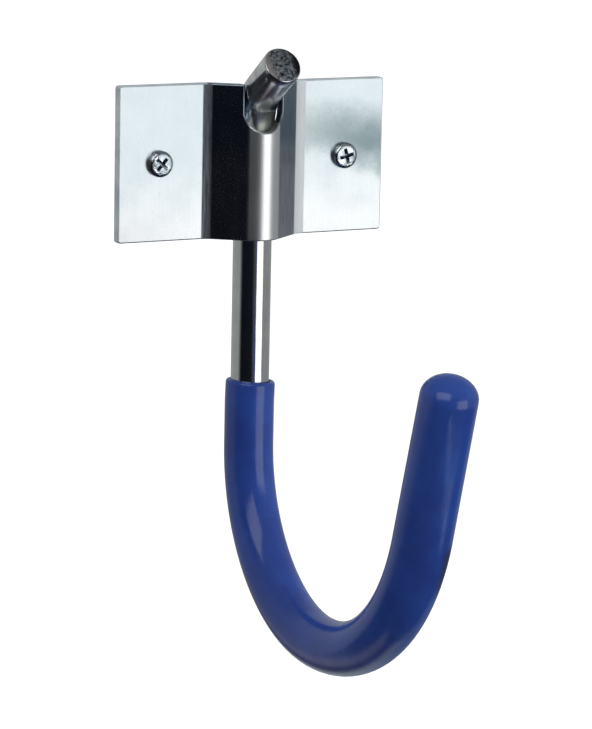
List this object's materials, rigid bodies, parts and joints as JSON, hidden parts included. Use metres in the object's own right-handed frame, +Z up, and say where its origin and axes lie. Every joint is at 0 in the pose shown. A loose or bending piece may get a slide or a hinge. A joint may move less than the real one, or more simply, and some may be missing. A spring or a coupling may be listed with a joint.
{
  "type": "utility hook",
  "caption": "Wall hook for tools and hoses: a bent steel rod with a plastic coated J, held to the wall by a folded plate and tapping screws.",
  "frame": {"origin": "on the wall plane, midway between the two screws, at half the plate's height", "axes": "+Y into the wall, +Z up, +X to the right for someone who faces the wall"},
  "size_m": [0.06, 0.1064, 0.1229],
  "materials": {
    "zinc_sheet": "bright zinc plated sheet, with fine specks",
    "zinc_rod": "bright zinc plated drawn rod, smooth",
    "blue_plastic": "glossy dipped plastic",
    "zinc_screw": "bright zinc plated"
  },
  "bodies": {
    "root": {"mounting_plate": "zinc_sheet", "hook_rod": "zinc_rod", "hook_coating": "blue_plastic", "screw_left": "zinc_screw", "screw_right": "zinc_screw"}
  },
  "joints": []
}
